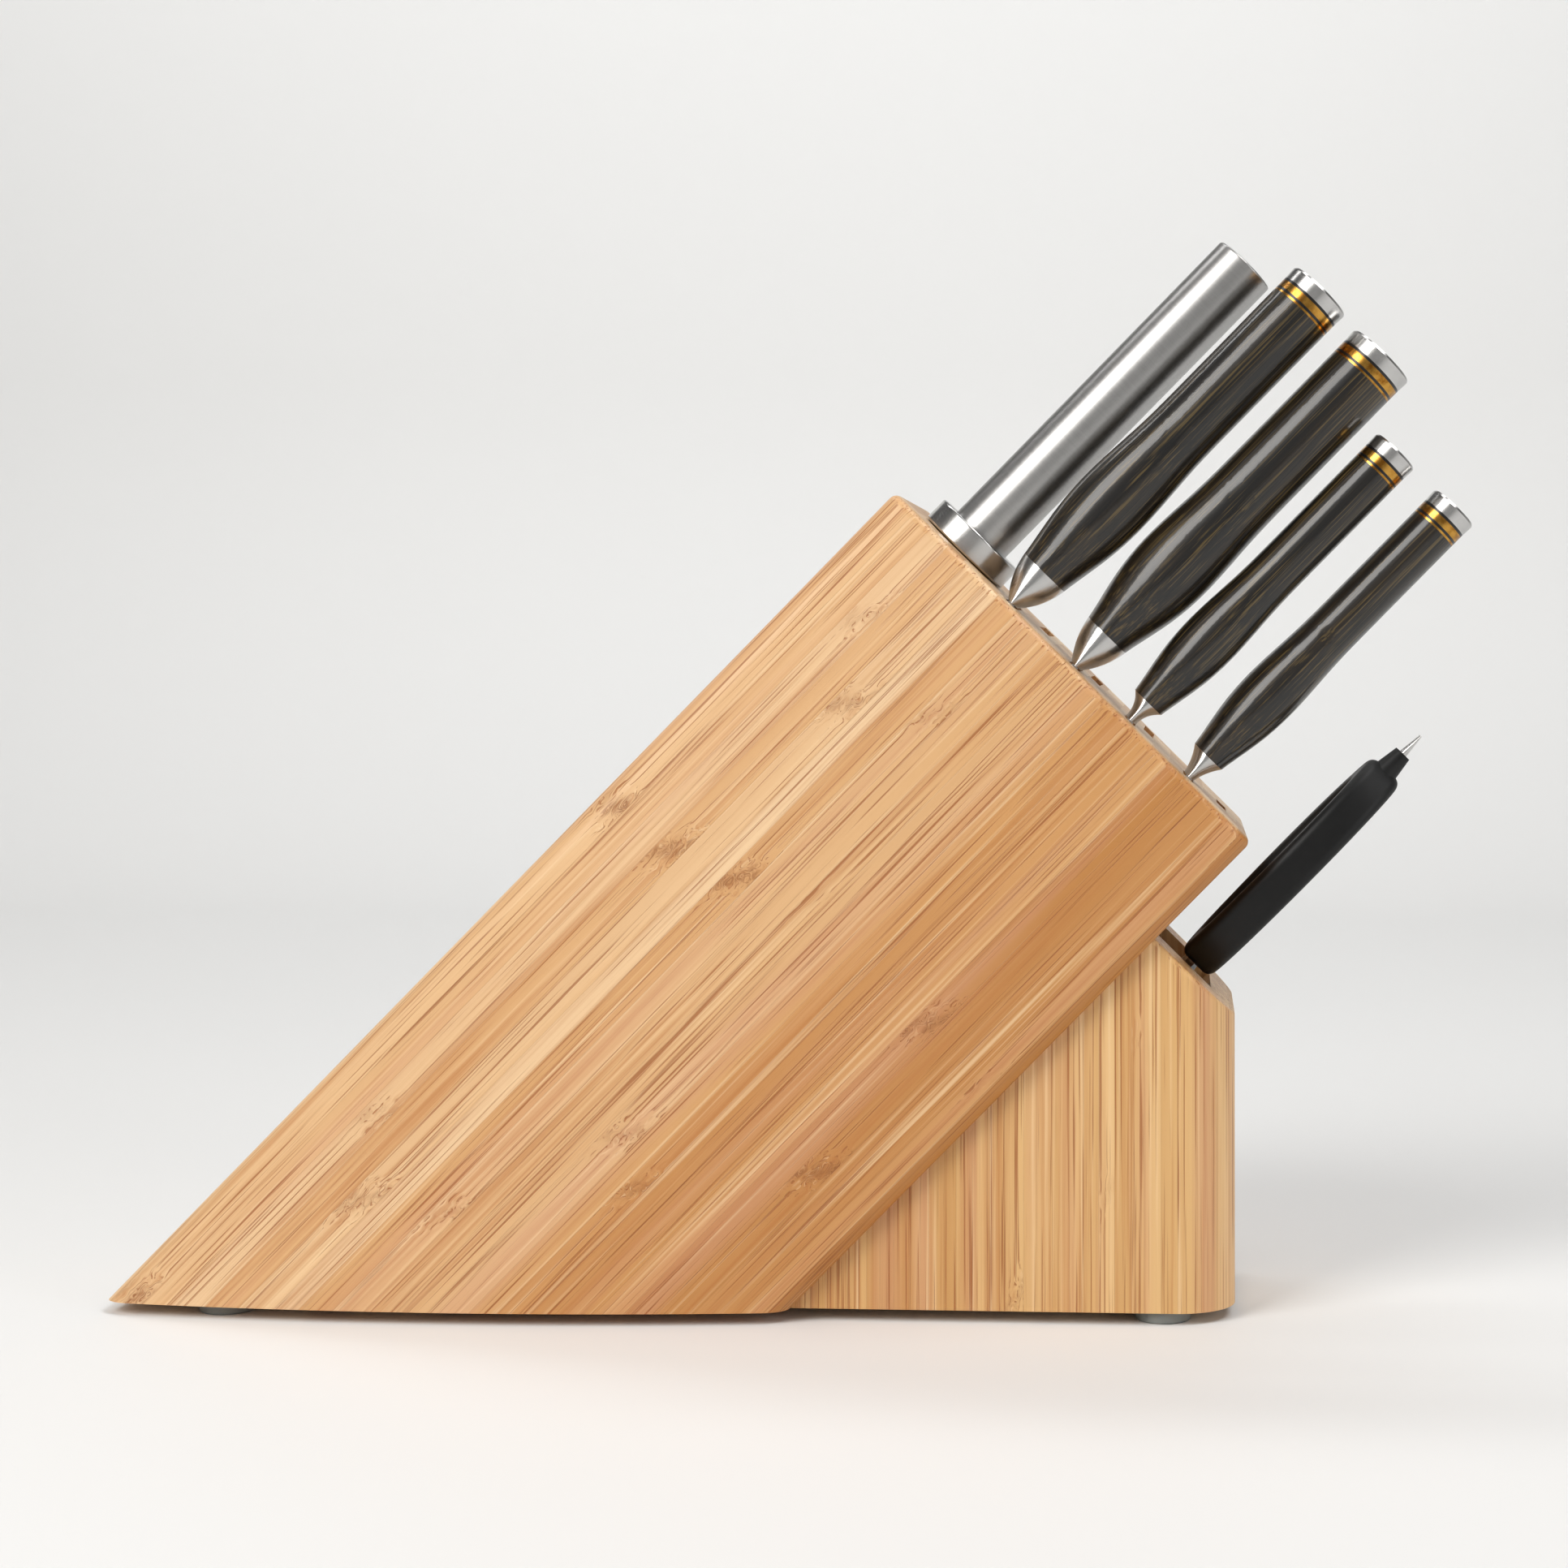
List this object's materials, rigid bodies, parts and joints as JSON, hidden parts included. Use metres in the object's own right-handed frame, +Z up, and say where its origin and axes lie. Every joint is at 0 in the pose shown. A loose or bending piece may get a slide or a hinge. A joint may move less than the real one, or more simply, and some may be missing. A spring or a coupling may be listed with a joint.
{
  "type": "knife block with knives",
  "caption": "Leaning bamboo knife block on a short base, holding a honing steel, knives with dark wood handles and kitchen shears, each of which draws out.",
  "frame": {"origin": "on the worktop under the middle of the whole object's box", "axes": "+X towards the handles, +Y from the row of knives towards the row of empty slots, +Z up"},
  "size_m": [0.4556, 0.124, 0.3598],
  "materials": {
    "bamboo": "satin oiled",
    "beech": "plain",
    "foot_rubber": "translucent grey",
    "screw_steel": "zinc",
    "rod_steel": "ribbed lengthways",
    "brushed_steel": "brushed",
    "polished_steel": "polished",
    "blade_steel": "satin ground",
    "handle_wood": "gloss lacquered laminated wood",
    "brass": "polished",
    "black_spacer": "gloss",
    "black_grip": "matte moulded"
  },
  "bodies": {
    "block": {"block_board_1": "bamboo", "block_board_2": "bamboo", "block_board_3": "bamboo", "block_board_4": "bamboo", "block_board_5": "bamboo", "block_board_6": "bamboo", "block_board_7": "bamboo", "block_board_8": "bamboo", "block_board_9": "bamboo", "block_board_10": "bamboo", "steel_slot_spacers": "bamboo", "chef_slot_spacers": "bamboo", "spare_one_slot_spacers": "bamboo", "bread_slot_spacers": "bamboo", "spare_two_slot_spacers": "bamboo", "utility_slot_spacers": "bamboo", "spare_three_slot_spacers": "bamboo", "paring_slot_spacers": "bamboo", "spare_four_slot_spacers": "bamboo", "base_near_cheek": "bamboo", "base_far_cheek": "bamboo", "base_core": "bamboo", "joint_dowels": "beech", "rubber_feet": "foot_rubber", "foot_screws": "screw_steel"},
    "honing_steel": {"steel_rod": "rod_steel", "steel_guard": "polished_steel", "steel_handle": "brushed_steel", "steel_end_plug": "brushed_steel"},
    "chef_knife": {"chef_blade": "blade_steel", "chef_bolster": "polished_steel", "chef_handle": "handle_wood", "chef_brass_rings": "brass", "chef_black_rings": "black_spacer", "chef_end_cap": "polished_steel"},
    "bread_knife": {"bread_blade": "blade_steel", "bread_bolster": "polished_steel", "bread_handle": "handle_wood", "bread_brass_rings": "brass", "bread_black_rings": "black_spacer", "bread_end_cap": "polished_steel"},
    "utility_knife": {"utility_blade": "blade_steel", "utility_bolster": "polished_steel", "utility_handle": "handle_wood", "utility_brass_rings": "brass", "utility_black_rings": "black_spacer", "utility_end_cap": "polished_steel"},
    "paring_knife": {"paring_blade": "blade_steel", "paring_bolster": "polished_steel", "paring_handle": "handle_wood", "paring_brass_rings": "brass", "paring_black_rings": "black_spacer", "paring_end_cap": "polished_steel"},
    "shears_near_half": {"shears_near_leaf": "blade_steel", "shears_near_grip": "black_grip", "shears_driver_tip": "polished_steel", "shears_pivot_screw": "polished_steel", "shears_pivot_nut": "polished_steel"},
    "shears_far_half": {"shears_far_leaf": "blade_steel", "shears_far_grip": "black_grip"}
  },
  "joints": [
    {"name": "steel_draw", "type": "slide", "parent": "block", "child": "honing_steel", "axis": [0.7009, 0, 0.7133], "range_m": [0, 0.245]},
    {"name": "chef_draw", "type": "slide", "parent": "block", "child": "chef_knife", "axis": [0.7009, 0, 0.7133], "range_m": [0, 0.215]},
    {"name": "bread_draw", "type": "slide", "parent": "block", "child": "bread_knife", "axis": [0.7009, 0, 0.7133], "range_m": [0, 0.215]},
    {"name": "utility_draw", "type": "slide", "parent": "block", "child": "utility_knife", "axis": [0.7009, 0, 0.7133], "range_m": [0, 0.14]},
    {"name": "paring_draw", "type": "slide", "parent": "block", "child": "paring_knife", "axis": [0.7009, 0, 0.7133], "range_m": [0, 0.102]},
    {"name": "shears_draw", "type": "slide", "parent": "block", "child": "shears_near_half", "axis": [0.7009, 0, 0.7133], "range_m": [0, 0.115]},
    {"name": "shears_pivot", "type": "hinge", "parent": "shears_near_half", "child": "shears_far_half", "pos_m": [0.1229, 0, 0.10277], "axis": [-0.7133, 0, 0.7009], "range_deg": [0, 5]}
  ]
}
